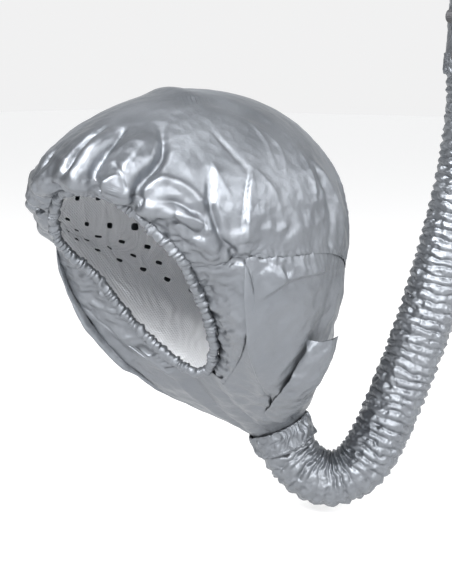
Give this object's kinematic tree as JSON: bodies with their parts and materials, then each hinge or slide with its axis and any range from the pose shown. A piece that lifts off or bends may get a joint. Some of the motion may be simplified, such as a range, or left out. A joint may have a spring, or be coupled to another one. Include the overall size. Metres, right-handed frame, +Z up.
{
  "type": "soft bonnet hood hair dryer",
  "caption": "Silver fabric bonnet with an elastic face opening, a perforated liner and a tapering rear duct, fed by a wide flexible hose that ends in a drawstring cuff for a hand-held dryer.",
  "frame": {"origin": "the crown of the head that wears the hood, inside the dome", "axes": "+Z up, -Y out of the face opening, +X towards the wearer's left, where the hose rises"},
  "size_m": [0.3598, 0.5218, 0.6062],
  "materials": {
    "silver_fabric": "satin",
    "silver_hose": "satin",
    "liner_fabric": "matte",
    "elastic": "matte",
    "drawstring": "matte",
    "spring_wire": "satin",
    "black_plastic": "satin"
  },
  "bodies": {
    "hood": {"bonnet_shell": "silver_fabric", "duct_shell": "silver_fabric", "duct_seam_binding": "silver_fabric", "duct_fin": "silver_fabric", "face_hem": "silver_fabric", "face_elastic": "elastic", "inner_liner": "liner_fabric", "outlet_hoop": "spring_wire", "outlet_collar": "silver_hose", "hose": "silver_hose", "cuff_collar": "silver_hose", "cuff_hoop": "spring_wire", "cuff_sleeve": "silver_hose", "drawstring_channel": "silver_hose", "drawstring": "drawstring", "cord_stop_near": "black_plastic", "cord_stop_far": "black_plastic"},
    "cord_lock": {"cord_lock_barrel": "black_plastic", "cord_lock_spring": "spring_wire"},
    "lock_button": {"cord_lock_button": "black_plastic"}
  },
  "joints": [
    {"name": "lock_slide", "type": "slide", "parent": "hood", "child": "cord_lock", "axis": [0, 0, 1], "range_m": [-0.028, 0.011]},
    {"name": "button_press", "type": "slide", "parent": "cord_lock", "child": "lock_button", "axis": [-1, 0, 0], "range_m": [0, 0.003], "stiffness_N_per_m": 300, "springref_m": -0.004, "deforming": ["cord_lock_spring"]}
  ]
}
